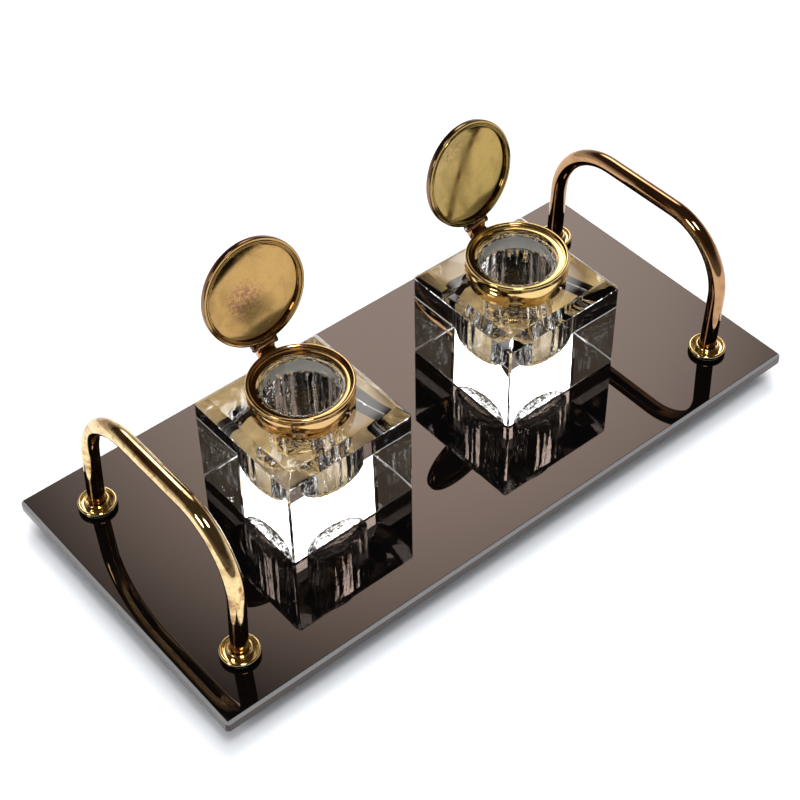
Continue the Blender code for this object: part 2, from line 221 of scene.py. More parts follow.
def report(piece):
    columns = zip(*(v.co for v in piece.data.vertices))
    size = " x ".join(f"{(max(column) - min(column)) / MM:.1f}" for column in columns)
    print(f"{piece.name}: {len(piece.data.polygons)} faces, {size} mm")
    return piece


# %% [markdown]
# ## Turned work
#
# Rosettes, collars, lids, nuts and washers are all turned on a lathe in the real trade. Blender's Spin does
# the same job: draw half of the section as a line of vertices, then sweep it round the Z axis. The corners
# of the section are rounded before the spin with a vertex bevel, so each one becomes a smooth ring.

# %% Draw a half-section and spin it
def draw_section(points, loop=True, corners=0.0):
    """Extrude one vertex from point to point of (radius, height) in the XZ plane. Stays in edit mode."""
    clear_selection()
    first = Vector((points[0][0], 0, points[0][1]))
    bpy.ops.mesh.primitive_plane_add(size=1, location=first)
    piece = bpy.context.active_object
    fix_shape()
    edit(piece)
    bpy.ops.mesh.select_mode(type="VERT")
    pick_all()
    bpy.ops.mesh.merge(type="CENTER")
    here = first
    for radius, height in points[1:]:
        there = Vector((radius, 0, height))
        bpy.ops.mesh.extrude_region_move(TRANSFORM_OT_translate={"value": there - here})
        here = there
    if loop:
        bpy.ops.mesh.select_all(action="SELECT")
        ends = (first, here)
        pick("VERT", lambda v: any((v.co - end).length < SEAM for end in ends))
        bpy.ops.mesh.edge_face_add()
    if corners:
        pick("VERT", lambda v: len(v.link_edges) == 2 and v.calc_edge_angle(0) > radians(25))
        bpy.ops.mesh.bevel(affect="VERTICES", offset=corners, segments=2, clamp_overlap=True)
    return piece


def turned(name, points, steps=96, loop=True, corners=0.0, at=(0, 0, 0)):
    piece = draw_section(points, loop, corners)
    pick_all()
    bpy.ops.mesh.spin(steps=steps, angle=2 * pi, center=(0, 0, 0), axis=(0, 0, 1))
    close_seams()
    leave(piece, name)
    settle(piece, Matrix.Translation(at))
    return smooth(piece)


# %% [markdown]
# ## Where everything stands
#
# The frame says where each plain part is, so no place is typed in twice: the plate gives its top, a rosette
# gives the foot of a handle, a glass block gives the middle of an inkwell, and the hinge joint gives the
# axis a lid turns on and how far it is open.

# %% Read the places from the frame
def span(node):
    low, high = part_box(node)
    return low, high, (low + high) / 2


SIDES = ("left", "right")
FOOT_PLACES = [f"{side}_{end}" for side in SIDES for end in ("front", "back")]
plate_low, plate_high, _ = span("base_plate")
hinges = {j["child"]: j for j in frame["joints"] if j["type"] == "hinge"}
OPEN_ANGLE = radians(hinges["lid_left"]["range_deg"][1])
wells, mounts, swings = {}, {}, {}
for side in SIDES:
    low, high, centre = span(f"glass_block_{side}")
    joint = hinges[f"lid_{side}"]
    turn = atan2(joint["axis"][1], joint["axis"][0])
    wells[side] = Matrix.Translation((centre.x, centre.y, low.z))
    mounts[side] = wells[side] @ Matrix.Rotation(turn, 4, "Z")
    axis = Matrix.Translation(joint["pos_m"]) @ Matrix.Rotation(turn, 4, "Z")
    swings[side] = axis @ Matrix.Rotation(-OPEN_ANGLE, 4, "X")
    where = f"{centre.x / MM:.1f}, {centre.y / MM:.1f} mm"
    print(f"{side} inkwell at {where}, collar turned {degrees(turn):.1f} degrees")
PLATE_TOP = plate_high.z
print(f"plate top at {PLATE_TOP / MM:.2f} mm, lids open {degrees(OPEN_ANGLE):.1f} degrees")

# %% [markdown]
# ## Shader sums in plain Python
#
# A finish is a small sum of patterns: noise times a strength, plus a mask, and so on. Each sum could be wired
# by hand with Math nodes. Here a thin wrapper round a socket lets the sum be written as Python, and the
# nodes appear by themselves. Every other node comes from one method, `node`, which takes the node's type,
# its settings and the values or wires of its sockets. The finishes and the sky share these helpers.

# %% A wire and a finish
class Wire:
    """A number coming out of a node, with arithmetic."""

    def __init__(self, nodes, socket):
        self.nodes, self.socket = nodes, socket

    def _math(self, operation, *values):
        return self.nodes.node("ShaderNodeMath", {"operation": operation}, dict(enumerate(values)))

    def __add__(self, other):
        return self._math("ADD", self, other)

    def __radd__(self, other):
        return self._math("ADD", other, self)

    def __sub__(self, other):
        return self._math("SUBTRACT", self, other)

    def __rsub__(self, other):
        return self._math("SUBTRACT", other, self)

    def __mul__(self, other):
        return self._math("MULTIPLY", self, other)

    def __pow__(self, other):
        return self._math("POWER", self, other)

    def sine(self):
        return self._math("SINE", self)

    def clamp(self):
        return self.nodes.node("ShaderNodeClamp", {}, {"Value": self})

    def step(self, low, high):
        """0 below low, 1 above high, and smooth between."""
        inputs = {"Value": self, "From Min": low, "From Max": high}
        return self.nodes.node("ShaderNodeMapRange", {"interpolation_type": "SMOOTHSTEP"}, inputs)


class Nodes:
    """Nodes of one tree, added one after the other."""

    def __init__(self, owner, looks="Object"):
        owner.use_nodes = True
        self.tree = owner.node_tree
        self.place = self.node("ShaderNodeTexCoord", {}, {}, out=looks)

    def set(self, node, values):
        for name, value in values.items():
            socket = node.inputs[name]
            if isinstance(value, Wire):
                self.tree.links.new(value.socket, socket)
            elif isinstance(value, tuple) and len(value) == 3 and socket.type == "RGBA":
                socket.default_value = (*value, 1.0)
            else:
                socket.default_value = value

    def node(self, kind, settings, inputs, out=0):
        made = self.tree.nodes.new(kind)
        for name, value in settings.items():
            setattr(made, name, value)
        self.set(made, inputs)
        return Wire(self, made.outputs[out])

    def move(self, place, **steps):
        """Positions after a shift, a turn or a stretch."""
        return self.node("ShaderNodeMapping", {}, {"Vector": place, **steps})

    def about(self, centre):
        """Positions measured from a centre."""
        return self.move(self.place, Location=tuple(-c for c in centre))

    def along(self, axis, place=None):
        """One coordinate of a position."""
        return self.node("ShaderNodeSeparateXYZ", {}, {"Vector": place or self.place}, out=axis)

    def off_axis(self, place):
        """Distance from the upright line through the centre."""
        x, y = self.along("X", place), self.along("Y", place)
        return (x * x + y * y) ** 0.5

    def away(self, place, point):
        """Distance from a point."""
        inputs = {0: place, 1: point}
        return self.node("ShaderNodeVectorMath", {"operation": "DISTANCE"}, inputs, out="Value")

    def facing(self, direction):
        """1 towards a direction, 0 square to it and -1 away from it."""
        inputs = {0: self.place, 1: direction}
        return self.node("ShaderNodeVectorMath", {"operation": "DOT_PRODUCT"}, inputs, out="Value")

    def noise(self, size, detail=3.0, roughness=0.5, stretch=(1, 1, 1), distortion=0.0, place=None):
        """Cloudy pattern of about this size in metres, pulled out along an axis by stretch."""
        spot = self.move(place or self.place, Scale=tuple(1 / (size * s) for s in stretch))
        inputs = {"Vector": spot, "Scale": 1.0, "Detail": detail}
        inputs |= {"Roughness": roughness, "Distortion": distortion}
        return self.node("ShaderNodeTexNoise", {}, inputs)

    def cells(self, size, place=None):
        """Distance to the nearest of many scattered dots, this far apart in metres."""
        inputs = {"Vector": place or self.place, "Scale": 1 / size}
        return self.node("ShaderNodeTexVoronoi", {}, inputs)

    def mix(self, amount, first, second):
        """Mix of two colours."""
        return self.node("ShaderNodeMix", {"data_type": "RGBA"}, {"Factor": amount, 6: first, 7: second}, out=2)

    def bump(self, height, depth, strength):
        return self.node("ShaderNodeBump", {}, {"Height": height, "Distance": depth, "Strength": strength})


class Finish(Nodes):
    """A material made of nodes round one Principled shader."""

    def __init__(self, name, **shader_values):
        self.material = bpy.data.materials.new(name)
        super().__init__(self.material)
        self.shader = self.tree.nodes["Principled BSDF"]
        self.set(self.shader, shader_values)

    def wear(self, **links):
        """Feed the shader sockets whose value changes over the surface."""
        self.set(self.shader, {name.replace("_", " "): value for name, value in links.items()})
        return self.material


def dress(piece, material, body, slot, *nodes):
    """Give a piece its finish, and say which body it moves with and which plain parts it stands for."""
    piece.data.materials.clear()
    piece.data.materials.append(material)
    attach(piece, body)
    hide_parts(*nodes)
    return report(piece)


# %% [markdown]
# ## Black plate glass
#
# The plate is quarter-inch glass, black right through and polished on both faces. Black glass needs no
# transparency: a black base with a clear, hard reflection looks the same and renders at once. What makes it
# real is what lies on the polish: a little dust, faint wipe marks that dull it here and there, and an arris
# that was ground and only half polished, so it shows as a grey line.

# %% The black glass finish
def black_glass_finish():
    glass = Finish("black glass", **{"IOR": 1.52, "Specular Tint": (1.0, 0.74, 0.62)})
    dust = glass.cells(2.6 * MM).step(0.05, 0.028)
    patches = glass.noise(40 * MM, detail=4).step(0.52, 0.7)
    wipe = glass.noise(9 * MM, detail=5, roughness=0.7, stretch=(3.0, 0.5, 1)).step(0.45, 0.8)
    fine = glass.noise(0.35 * MM, detail=2)
    height = glass.along("Z")
    below = 1 - height.step(PLATE_TOP - 0.12 * MM, PLATE_TOP - 0.05 * MM)
    ground = below * height.step(PLATE_TOP - 1.3 * MM, PLATE_TOP - 1.1 * MM)
    colour = glass.mix(dust * patches * 0.10, (0.0012, 0.0011, 0.0012), (0.30, 0.29, 0.27))
    colour = glass.mix(ground * 0.45, colour, (0.36, 0.36, 0.37))
    rough = 0.012 + wipe * 0.02 + dust * patches * 0.25 + ground * 0.25
    normal = glass.bump(fine, 0.0006 * MM, 0.1)
    return glass.wear(Base_Color=colour, Roughness=rough, Normal=normal)


BLACK_GLASS = black_glass_finish()
print("made", BLACK_GLASS.name)

# %% [markdown]
# ## The glass plate
#
# A sheet with a polished arris along every edge, and four holes for the handle studs. It is a cube stretched
# to size, its edges bevelled once for the arris and once more, very small, where the arris meets the faces.
# The faces stay flat-shaded, because a mirror as flat as this one shows the smallest slip in the shading.

# %% Model the plate
ARRIS = 1.2 * MM
FINE_ARRIS = 0.12 * MM
HOLE_RADIUS = 2.4 * MM
DRILL = 20 * MM


def make_plate():
    plate = cube(plate_high - plate_low, (plate_low + plate_high) / 2)
    edit(plate)
    pick_all()
    bevel(ARRIS)
    pick("EDGE", lambda e: e.calc_face_angle(0) > radians(20))
    bevel(FINE_ARRIS)
    leave(plate, "plate")
    for place in FOOT_PLACES:
        _, _, centre = span(f"plate_washer_{place}")
        drill(plate, HOLE_RADIUS, DRILL, (centre.x, centre.y, plate_low.z))
    return plate


dress(make_plate(), BLACK_GLASS, "stand", "black_glass", "base_plate")

# %% [markdown]
# ## Brass with different lives
#
# Nearly all the metal is brass, but each part has had its own life. The rods are smooth and streaked with
# stains along their length, the left one still bright and the right one darker and redder. The rosettes and
# nuts keep fine rings from the lathe, and the collars have dulled to a deep gold. One recipe serves them
# all, and the steel of the pins too, with the amount of each kind of wear given as numbers.

# %% One recipe for brass
LATHE_PITCH = 0.22 * MM


def brass(name, clean, stained, stain, roughness, speckle, centre=(0, 0, 0), rings=0.0, streak=(1, 1, 1)):
    metal = Finish(name, Metallic=1.0)
    place = metal.about(centre)
    clouds = metal.noise(9 * MM, detail=5, roughness=0.6, stretch=streak, place=place).step(0.42, 0.68)
    blots = metal.noise(2.2 * MM, detail=4, roughness=0.65, place=place).step(0.5, 0.75)
    spots = metal.cells(1.1 * MM, place=place).step(0.20, 0.08)
    some = metal.noise(5 * MM, detail=2, place=place).step(0.5, 0.65)
    grain = metal.noise(0.25 * MM, detail=3, roughness=0.6, place=place)
    dull = ((clouds * 0.6 + blots * 0.5) * stain).clamp()
    colour = metal.mix(dull, clean, stained)
    colour = metal.mix(spots * some * speckle, colour, tuple(c * 0.35 for c in stained))
    rough = roughness + dull * 0.10 + spots * some * speckle * 0.3 + (grain - 0.5) * 0.05
    height = grain * 0.25 + spots * some * -0.6 * speckle
    if rings:
        height = height + (metal.off_axis(place) * (2 * pi / LATHE_PITCH)).sine() * rings
    normal = metal.bump(height, 0.004 * MM, 0.5)
    return metal.wear(Base_Color=colour, Roughness=rough, Normal=normal)


def rod_brass(side, clean, stained, stain, roughness):
    return brass(f"brass of the {side} rod", clean, stained, stain, roughness, 0.5, streak=(0.5, 3.0, 0.8))


ROD_BRASS = {
    "left": rod_brass("left", (0.80, 0.60, 0.30), (0.30, 0.13, 0.045), 1.6, 0.045),
    "right": rod_brass("right", (0.44, 0.25, 0.12), (0.17, 0.08, 0.05), 0.8, 0.05),
}
PIN_STEEL = brass("steel of the pins", (0.62, 0.60, 0.56), (0.30, 0.24, 0.18), 0.5, 0.22, 0.3)
print("made", *(metal.name for metal in ROD_BRASS.values()), "and", PIN_STEEL.name)

# %% [markdown]
# ## The handles
#
# Each handle is one round rod, bent twice, with its ends turned down to thin studs that go through the
# plate. It could be a curve with a round bevel, but here it is drawn like the smith works: a disc is pulled
# up into a stud and then a rod, swept round each bend with Spin, and pulled straight between them. Both
# rods have been pushed over a little, so everything above the rosette is turned a few degrees at the end.

# %% Model a handle
BEND_RADIUS = 30 * MM
ROD_STEPS = 32
STUD = 2.0 * MM
STRAIGHT = 1.5 * MM


def pull(distance):
    bpy.ops.mesh.extrude_region_move(TRANSFORM_OT_translate={"value": distance})


def make_handle(side):
    low, high, _ = span(f"handle_{side}")
    front, back = (span(f"rosette_{side}_{end}") for end in ("front", "back"))
    x, y_front, y_back = front[2].x, front[2].y, back[2].y
    rod = (high.y - low.y - (y_back - y_front)) / 2
    seat, boss = front[0].z + 1.4 * MM, front[1].z
    top = high.z - rod
    clear_selection()
    spot = (x, y_front, low.z)
    bpy.ops.mesh.primitive_circle_add(vertices=ROD_STEPS, radius=STUD, fill_type="NGON", location=spot)
    handle = bpy.context.active_object
    fix_shape()
    edit(handle)
    pick_all()
    pull((0, 0, seat - low.z))
    bpy.ops.mesh.extrude_region_move()
    bpy.ops.transform.resize(value=(rod / STUD,) * 3, center_override=(x, y_front, seat))
    pull((0, 0, boss - seat))
    pull((0, 0, STRAIGHT))
    pull((0, 0, top - BEND_RADIUS - boss - STRAIGHT))
    bend_z = top - BEND_RADIUS
    bpy.ops.mesh.spin(steps=20, angle=pi / 2, center=(x, y_front + BEND_RADIUS, bend_z), axis=(1, 0, 0))
    pull((0, y_back - y_front - 2 * BEND_RADIUS, 0))
    bpy.ops.mesh.spin(steps=20, angle=pi / 2, center=(x, y_back - BEND_RADIUS, bend_z), axis=(1, 0, 0))
    pull((0, 0, boss + STRAIGHT - bend_z))
    pull((0, 0, -STRAIGHT))
    pull((0, 0, seat - boss))
    bpy.ops.mesh.extrude_region_move()
    bpy.ops.transform.resize(value=(STUD / rod,) * 3, center_override=(x, y_back, seat))
    pull((0, 0, low.z - seat))
    close_seams()
    lean = atan2(high.x - rod - x, top - boss)
    pick("VERT", lambda v: v.co.z > boss + 1.0 * MM)
    bpy.ops.transform.rotate(value=-lean, orient_axis="Y", center_override=(x, 0, boss))
    leave(handle, f"handle_rod_{side}")
    print(f"rod {2 * rod / MM:.2f} mm thick, leaning {degrees(lean):.1f} degrees")
    return smooth(handle, 40)


for side in SIDES:
    dress(make_handle(side), ROD_BRASS[side], "stand", "brass_rod", f"handle_{side}")

# %% [markdown]
# ## The rosettes
#
# A rosette covers each hole in the plate. It is a little turned dish: a rolled bead round its rim, a dark
# hollow, and a boss with a rounded lip that the rod stands in. One is turned and four are placed. The rings
# of the lathe show only with a pattern centred on the piece, so each one gets the brass with its own centre.

# %% Turn the rosettes
def arc(centre, radius, start, stop, steps):
    """Points on an arc of (radius, height), between two angles in degrees."""
    turns = [radians(start + (stop - start) * step / steps) for step in range(steps + 1)]
    return [(centre[0] + radius * cos(t), centre[1] + radius * sin(t)) for t in turns]


rosette_low, rosette_high, _ = span("rosette_left_front")
ROSETTE = (rosette_high.x - rosette_low.x) / 2
BOSS, SEAT, BORE = 5.2 * MM, 4.05 * MM, 2.3 * MM
BEAD = 0.8 * MM
rosette_section = [
    (BORE, 0),
    (ROSETTE - 0.3 * MM, 0),
    (ROSETTE, 0.3 * MM),
    *arc((ROSETTE - BEAD, 1.8 * MM - BEAD), BEAD, 0, 170, 8),
    (ROSETTE - 1.9 * MM, 0.75 * MM),
    (BOSS + 0.55 * MM, 0.7 * MM),
    (BOSS, 1.1 * MM),
    (BOSS - 0.12 * MM, 2.3 * MM),
    *arc((BOSS - 0.58 * MM, 2.44 * MM), 0.56 * MM, 20, 170, 6),
    (SEAT, 1.1 * MM),
    (BORE, 1.1 * MM),
]
rosette = turned("rosette", rosette_section, steps=72)


def turned_brass(name, centre):
    return brass(name, (0.82, 0.63, 0.30), (0.36, 0.21, 0.08), 0.5, 0.09, 0.5, centre=centre, rings=0.12)


for place in FOOT_PLACES:
    _, _, centre = span(f"rosette_{place}")
    spot = (centre.x, centre.y, rosette_low.z)
    copy = twin(rosette, f"foot_rosette_{place}", Matrix.Translation(spot))
    dress(copy, turned_brass(f"turned brass {place}", spot), "stand", "brass_turned", f"rosette_{place}")
discard(rosette)

# %% [markdown]
# ## Felt and leather
#
# Metal never sits straight on glass. A ring of dark felt lies under each rosette, a leather washer lies under
# the plate, and a felt pad is under each foot. Felt is a mat of fibres with no shine, so its finish is a fine
# tangle of stretched noise with sheen. Leather has pores and small creases between them.

# %% Soft finishes
def felt_finish():
    felt = Finish("dark felt", **{"Sheen Weight": 0.5, "Sheen Roughness": 0.5, "Specular IOR Level": 0.2})
    strands = felt.noise(0.25 * MM, detail=6, roughness=0.75, stretch=(3, 0.6, 1), distortion=1.5)
    across = felt.noise(0.25 * MM, detail=6, roughness=0.75, stretch=(0.6, 3, 1), distortion=1.5)
    tangle = (strands + across) * 0.5
    colour = felt.mix(tangle.step(0.35, 0.65), (0.012, 0.016, 0.013), (0.055, 0.066, 0.055))
    return felt.wear(Base_Color=colour, Roughness=0.85 + tangle * 0.1, Normal=felt.bump(tangle, 0.15 * MM, 0.8))


def leather_finish():
    hide = Finish("red leather", **{"Specular IOR Level": 0.35})
    pores = hide.cells(0.7 * MM).step(0.0, 0.6)
    tone = hide.noise(4 * MM, detail=4)
    colour = hide.mix(tone.step(0.35, 0.7), (0.20, 0.07, 0.04), (0.34, 0.14, 0.08))
    return hide.wear(Base_Color=colour, Roughness=0.75 - tone * 0.2, Normal=hide.bump(pores, 0.08 * MM, 0.6))


FELT, LEATHER = felt_finish(), leather_finish()
print("made", FELT.name, "and", LEATHER.name)

# %% [markdown]
# ## The foot stacks
#
# Under the plate each stud carries a washer and a round nut with a knurled edge, to be tightened by hand, and
# the nut has a felt pad glued below. The nut is a cylinder whose side faces are pushed in one after the other
# for the knurling. A washer is turned from a small rectangle with its corners rounded.

# %% Washers and pads
def ring_section(inner, outer, thick):
    return [(inner, 0), (outer, 0), (outer, thick), (inner, thick)]


def make_washer(node, name, inner, material, slot):
    low, high, centre = span(node)
    section = ring_section(inner, (high.x - low.x) / 2, high.z - low.z)
    washer = turned(name, section, steps=48, corners=0.15 * MM, at=(centre.x, centre.y, low.z))
    return dress(washer, material, "stand", slot, node)


def make_pad(node, name):
    low, high, centre = span(node)
    wide, thick = (high.x - low.x) / 2, high.z - low.z
    section = [(0, 0), (wide, 0), (wide, thick), (0, thick)]
    pad = turned(name, section, steps=48, loop=False, corners=0.3 * MM, at=(centre.x, centre.y, low.z))
    return dress(pad, FELT, "stand", "felt", node)


for place in FOOT_PLACES:
    make_washer(f"soft_washer_{place}", f"felt_ring_{place}", HOLE_RADIUS, FELT, "felt")
    make_washer(f"plate_washer_{place}", f"leather_ring_{place}", BORE, LEATHER, "leather")
    make_pad(f"foot_pad_{place}", f"felt_foot_{place}")

# %% Knurled nuts
KNURLS = 48
NUT_EDGE, NUT_BORE = 0.45 * MM, 3.7 * MM
nut_low, nut_high, _ = span("foot_nut_left_front")


def make_nut():
    wide, tall = (nut_high.x - nut_low.x) / 2, nut_high.z - nut_low.z
    clear_selection()
    bpy.ops.mesh.primitive_cylinder_add(vertices=2 * KNURLS, radius=wide, depth=tall, location=(0, 0, tall / 2))
    nut = bpy.context.active_object
    fix_shape()
    edit(nut)
    pick("FACE", lambda f: abs(f.normal.z) > 0.9)
    bevel(NUT_EDGE, 2)
    side = lambda f: abs(f.normal.z) < 0.1 and abs(middle(f).z - tall / 2) < tall / 4
    column = lambda f: int(round(atan2(middle(f).y, middle(f).x) / (pi / KNURLS) - 0.5))
    pick("FACE", lambda f: side(f) and column(f) % 2 == 0)
    bpy.ops.mesh.inset(thickness=0.05 * MM, use_individual=True)
    bpy.ops.transform.resize(value=(0.965, 0.965, 0.9), center_override=(0, 0, tall / 2))
    pick("FACE", lambda f: f.normal.z > 0.9 and middle(f).z > tall - SEAM)
    bpy.ops.mesh.inset(thickness=wide - NUT_EDGE - BORE)
    pull((0, 0, -NUT_BORE))
    leave(nut, "nut")
    return smooth(nut, 30)


nut = make_nut()
for place in FOOT_PLACES:
    _, _, centre = span(f"foot_nut_{place}")
    spot = (centre.x, centre.y, nut_low.z)
    copy = twin(nut, f"knurled_nut_{place}", Matrix.Translation(spot))
    dress(copy, turned_brass(f"nut brass {place}", spot), "stand", "brass_turned", f"foot_nut_{place}")
discard(nut)

# %% [markdown]
# ## Clear cut glass
#
# The inkwell blocks are heavy lead crystal, cut and polished outside and pressed inside. A real refracting
# shader does most of the work, as long as the inside is modelled too. The index of lead crystal is a little
# above window glass. The wall of the ink space was pressed and never polished, so long upright ripples bend
# the surface there, while the cut faces stay perfectly flat.

# %% The crystal finish
def crystal_finish(name, centre, reach, floor):
    values = {"Transmission Weight": 1.0, "IOR": 1.54, "Base Color": (0.985, 0.992, 0.99), "Roughness": 0.0}
    glass = Finish(name, **values)
    place = glass.about(centre)
    inside = 1 - glass.off_axis(place).step(reach, reach + 0.4 * MM)
    pressed = inside * glass.along("Z", place).step(floor - 1.0 * MM, floor)
    ripples = glass.noise(3.6 * MM, detail=2, roughness=0.5, stretch=(1, 1, 4.0), place=place)
    dimples = glass.noise(1.6 * MM, detail=1, place=place)
    height = (ripples + dimples * 0.2) * pressed
    return glass.wear(Normal=glass.bump(height, 1.5 * MM, 0.6))


print("crystal finish ready")

# %% [markdown]
# ## The glass blocks
#
# Outside, a block is a cube with a wide chamfer cut round its top, narrow worn edges and a round neck.
# Inside is the ink space: a round well with about twenty soft vertical flutes and a rounded floor, closing
# to a plain mouth. The cube is bevelled edge by edge, the neck is joined on, and the ink space is modelled as
# a solid of its own and cut out. Its flutes come from pulling in every other column of vertices before a
# subdivision surface rounds them.

# %% Sizes of a block
block_low, block_high, _ = span("glass_block_left")
BLOCK = block_high.x - block_low.x
NECK_TOP = block_high.z - block_low.z
NECK_RISE = 9.0 * MM
BLOCK_TOP = NECK_TOP - NECK_RISE
CHAMFER = 4.1 * MM
WORN_EDGE, FOOT_EDGE, FINE_EDGE, NECK_EDGE = 0.8 * MM, 0.5 * MM, 0.1 * MM, 0.6 * MM
NECK = 18.5 * MM
MOUTH = 15.4 * MM
WALL = 16.0 * MM
WELL_FLOOR = 15.5 * MM
FLUTES = 20
FLUTE_PULL = 0.905
print(f"block {BLOCK / MM:.1f} mm wide, {BLOCK_TOP / MM:.1f} mm high")

# %% Model the ink space as a solid
def make_ink_space():
    fillet = 5.0 * MM
    shoulder = NECK_TOP - 3.2 * MM
    section = [
        (0, WELL_FLOOR + 0.5 * MM),
        (5.0 * MM, WELL_FLOOR + 0.3 * MM),
        *arc((WALL - fillet, WELL_FLOOR + fillet), fillet, -80, 0, 4),
        (WALL, WELL_FLOOR + 10 * MM),
        (WALL, WELL_FLOOR + 16 * MM),
        (WALL, WELL_FLOOR + 22 * MM),
        (WALL, shoulder - 2.5 * MM),
        (WALL, shoulder - 1.4 * MM),
        (MOUTH + 0.15 * MM, shoulder - 0.4 * MM),
        (MOUTH, shoulder + 0.2 * MM),
        (MOUTH, NECK_TOP - 1.2 * MM),
        (MOUTH + 0.25 * MM, NECK_TOP - 0.4 * MM),
        (MOUTH + 0.9 * MM, NECK_TOP + 0.05 * MM),
        (MOUTH + 0.9 * MM, NECK_TOP + 1.0 * MM),
        (0, NECK_TOP + 1.0 * MM),
    ]
    space = draw_section(section, loop=False)
    pick_all()
    bpy.ops.mesh.spin(steps=2 * FLUTES, angle=2 * pi, center=(0, 0, 0), axis=(0, 0, 1))
    close_seams()
    column = lambda v: int(round(atan2(v.co.y, v.co.x) / (pi / FLUTES)))
    on_wall = lambda v: v.co.xy.length > 11 * MM and v.co.z < shoulder - 2.0 * MM
    pick("VERT", lambda v: on_wall(v) and column(v) % 2 == 0)
    bpy.ops.transform.resize(value=(FLUTE_PULL, FLUTE_PULL, 1.0), center_override=(0, 0, 0))
    leave(space, "ink_space")
    finer = space.modifiers.new("finer", "SUBSURF")
    finer.levels = finer.render_levels = 2
    return apply_all(space)


def make_block():
    block = cube((BLOCK, BLOCK, BLOCK_TOP), (0, 0, BLOCK_TOP / 2))
    edit(block)
    pick("FACE", lambda f: f.normal.z > 0.9)
    bevel(CHAMFER)
    corner = lambda v: abs(abs(v.co.x) - abs(v.co.y)) < SEAM
    rise = lambda e: abs(e.verts[0].co.z - e.verts[1].co.z)
    pick("EDGE", lambda e: all(corner(v) for v in e.verts) and rise(e) > CHAMFER / 2)
    bevel(WORN_EDGE)
    pick("EDGE", lambda e: e.calc_face_angle(0) > radians(20) and all(v.co.z < SEAM for v in e.verts))
    bevel(FOOT_EDGE)
    pick("EDGE", lambda e: e.calc_face_angle(0) > radians(20))
    bevel(FINE_EDGE)
    leave(block, "block")
    section = [
        (0, BLOCK_TOP / 2),
        (NECK, BLOCK_TOP / 2),
        (NECK, NECK_TOP - NECK_EDGE),
        (NECK - NECK_EDGE, NECK_TOP),
        (0, NECK_TOP),
    ]
    cut(block, turned("neck", section, steps=128, loop=False), "UNION")
    cut(block, make_ink_space())
    return smooth(block, 18)


block = make_block()
for side in SIDES:
    centre = wells[side].translation
    copy = twin(block, f"crystal_block_{side}", wells[side])
    finish = crystal_finish(f"crystal {side}", centre, WALL + 0.3 * MM, WELL_FLOOR)
    dress(copy, finish, f"inkwell_{side}", "crystal", f"glass_block_{side}")
discard(block)

# %% [markdown]
# ## The pads under the blocks
#
# A thin pad of tan hide lies under each block, and a real pad there is a guess. Seen through the clear
# block, its colour paints broken patches of gold that stand in for reflections of the brass in the glass, so
# it is partly painted reflection. Its corners are cut round, and it stops a little short of the block's edge,
# so it is hidden from the side. It is a cube pressed flat, with two bevels: a wide one on the four upright
# edges for the cut corners, and a tiny one round the top and bottom, where the knife has softened the hide.

# %% Tan hide, painted as a gold reflection
def reflection_pad_finish():
    hide = Finish("tan pad for painted reflection", **{"Specular IOR Level": 0.3})
    tone = hide.noise(9 * MM, detail=4)
    pores = hide.cells(0.6 * MM)
    # Painted reflection: this tan colour, seen through the crystal, stands in for gold reflections of the
    # brass.
    colour = hide.mix(tone.step(0.35, 0.7), (0.36, 0.22, 0.08), (0.74, 0.53, 0.23))
    return hide.wear(Base_Color=colour, Roughness=0.7 - tone * 0.2, Normal=hide.bump(pores, 0.05 * MM, 0.5))


TAN_PAD_PAINTED_REFLECTION = reflection_pad_finish()
print("made", TAN_PAD_PAINTED_REFLECTION.name)

# %% Cut the pads
PAD_MARGIN, PAD_CORNER, PAD_EDGE, PAD_AIR = 4.0 * MM, 5.0 * MM, 0.05 * MM, 0.06 * MM


def make_reflection_pad_under(side):
    centre = wells[side].translation
    low, high = PLATE_TOP + PAD_AIR, centre.z - PAD_AIR
    wide = BLOCK - 2 * PAD_MARGIN
    pad = cube((wide, wide, high - low), (centre.x, centre.y, (low + high) / 2))
    edit(pad)
    pick("EDGE", lambda e: abs(e.verts[0].co.z - e.verts[1].co.z) > (high - low) / 2)
    bevel(PAD_CORNER, 6)
    pick("EDGE", lambda e: e.calc_face_angle(0) > radians(60))
    bevel(PAD_EDGE)
    return leave(pad, f"tan_reflection_pad_{side}")


for side in SIDES:
    pad = make_reflection_pad_under(side)
    # The pad's colour is a painted gold reflection in the crystal.
    pad.data.materials.append(TAN_PAD_PAINTED_REFLECTION)
    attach(pad, f"inkwell_{side}")
    report(pad)

# %% [markdown]
# ## The collars
#
# A brass collar is cemented round each neck. From outside it has a small foot, a broad band that swells a
# little in the middle, and a rounded rim. Inside the rim two steps lead down to a lip that covers the top of
# the glass. It is one turned piece, so it is one section, with every corner rounded enough to catch a line of
# light. The pale cement between brass and glass is a plain ring of its own.

# %% The collar brass and the cement
def collar_brass(side, clean, stained):
    centre = wells[side].translation
    return brass(f"collar brass {side}", clean, stained, 0.5, 0.07, 0.5, centre=centre)


def cement_finish():
    plaster = Finish("cement")
    lumps = plaster.noise(0.8 * MM, detail=5, roughness=0.7)
    colour = plaster.mix(lumps.step(0.3, 0.7), (0.80, 0.78, 0.73), (0.90, 0.88, 0.84))
    normal = plaster.bump(lumps, 0.15 * MM, 0.6)
    return plaster.wear(Base_Color=colour, Roughness=0.85 + lumps * 0.1, Normal=normal)


COLLAR_BRASS = {
    "left": collar_brass("left", (0.62, 0.40, 0.17), (0.34, 0.18, 0.08)),
    "right": collar_brass("right", (0.70, 0.50, 0.20), (0.38, 0.24, 0.09)),
}
CEMENT = cement_finish()
print("made collar brass and cement")

